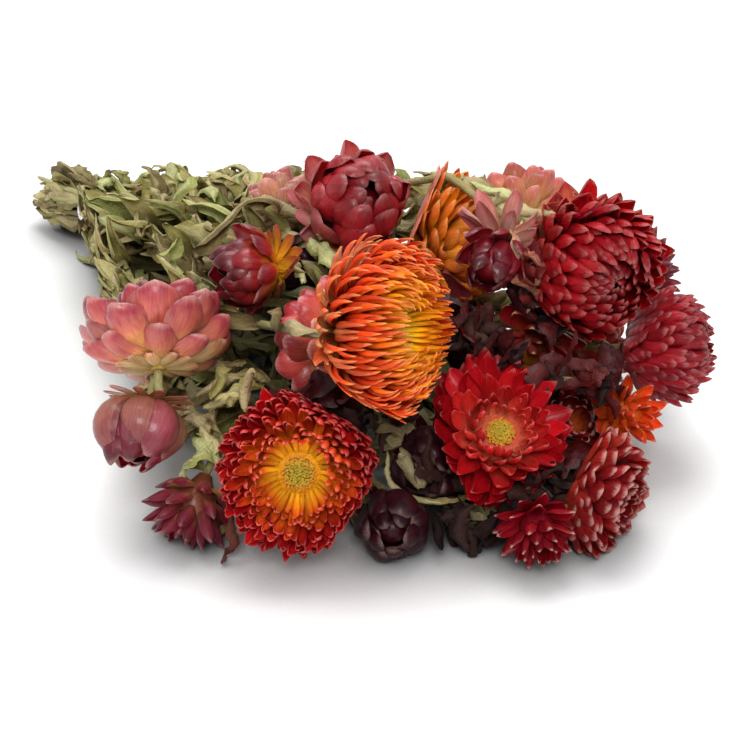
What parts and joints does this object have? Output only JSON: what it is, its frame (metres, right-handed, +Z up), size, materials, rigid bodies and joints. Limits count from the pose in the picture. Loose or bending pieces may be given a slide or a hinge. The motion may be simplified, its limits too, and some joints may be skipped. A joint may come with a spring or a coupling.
{
  "type": "bunch of dried strawflowers",
  "caption": "Bunch of dried strawflowers lying on its side: papery crimson, rose and orange blooms on leafy stems, held by one elastic band.",
  "frame": {"origin": "middle of the bottom of the bounding box, on the surface that the bunch lies on", "axes": "+X along the bunch from the cut stem ends to the blooms, +Y across it, +Z up"},
  "size_m": [0.3924, 0.208, 0.0992],
  "materials": {
    "crimson_bract": "stiff papery bracts with a satin shine, crimson with paler glinting tips",
    "rose_bract": "stiff papery bracts with a satin shine, dusty rose to peach, yellow-tan at the base",
    "orange_bract": "stiff papery bracts with a satin shine, orange-red to golden at the centre",
    "dark_bract": "stiff papery bracts, dark maroon, almost black in the folds",
    "stem_and_leaf": "dry, matt olive to brown stems and shrivelled leaves",
    "band": "pale lilac-white translucent elastic",
    "disc": "matt olive-yellow florets"
  },
  "bodies": {
    "root": {"bloom_rose_cup": "rose_bract", "bloom_rose_bud": "rose_bract", "bloom_plum_star": "dark_bract", "bloom_amber_goblet": "orange_bract", "bloom_blush_cup": "rose_bract", "bloom_wine_full": "crimson_bract", "bloom_coral_cup": "rose_bract", "bloom_orange_shaggy": "orange_bract", "bloom_scarlet_daisy": "crimson_bract", "bloom_orange_open": "orange_bract", "bloom_mauve_bud": "dark_bract", "bloom_crimson_full": "crimson_bract", "bloom_garnet_full": "crimson_bract", "bloom_peach_cup": "rose_bract", "bloom_red_daisy": "crimson_bract", "bloom_flame_rosette": "orange_bract", "bloom_rust_open": "orange_bract", "bloom_ruby_star": "crimson_bract", "bloom_maroon_bud": "dark_bract", "bloom_black_bud": "dark_bract", "bloom_claret_open": "crimson_bract", "bloom_streaked_star": "dark_bract", "bloom_shadow_bud": "dark_bract", "bloom_ink_bud": "dark_bract", "bloom_far_rust": "orange_bract", "bloom_far_wine": "crimson_bract", "bloom_far_plum": "dark_bract", "leafy_stem_rose_cup": "stem_and_leaf", "leafy_stem_rose_bud": "stem_and_leaf", "leafy_stem_plum_star": "stem_and_leaf", "leafy_stem_amber_goblet": "stem_and_leaf", "leafy_stem_blush_cup": "stem_and_leaf", "leafy_stem_wine_full": "stem_and_leaf", "leafy_stem_coral_cup": "stem_and_leaf", "leafy_stem_orange_shaggy": "stem_and_leaf", "leafy_stem_scarlet_daisy": "stem_and_leaf", "leafy_stem_orange_open": "stem_and_leaf", "leafy_stem_mauve_bud": "stem_and_leaf", "leafy_stem_crimson_full": "stem_and_leaf", "leafy_stem_garnet_full": "stem_and_leaf", "leafy_stem_peach_cup": "stem_and_leaf", "leafy_stem_red_daisy": "stem_and_leaf", "leafy_stem_flame_rosette": "stem_and_leaf", "leafy_stem_rust_open": "stem_and_leaf", "leafy_stem_ruby_star": "stem_and_leaf", "leafy_stem_maroon_bud": "stem_and_leaf", "leafy_stem_black_bud": "stem_and_leaf", "leafy_stem_claret_open": "stem_and_leaf", "leafy_stem_streaked_star": "stem_and_leaf", "leafy_stem_shadow_bud": "stem_and_leaf", "leafy_stem_ink_bud": "stem_and_leaf", "leafy_stem_far_rust": "stem_and_leaf", "leafy_stem_far_wine": "stem_and_leaf", "leafy_stem_far_plum": "stem_and_leaf", "tie_band": "band", "disc_scarlet_daisy": "disc", "disc_orange_shaggy": "disc", "disc_red_daisy": "disc", "disc_orange_open": "disc"}
  },
  "joints": []
}
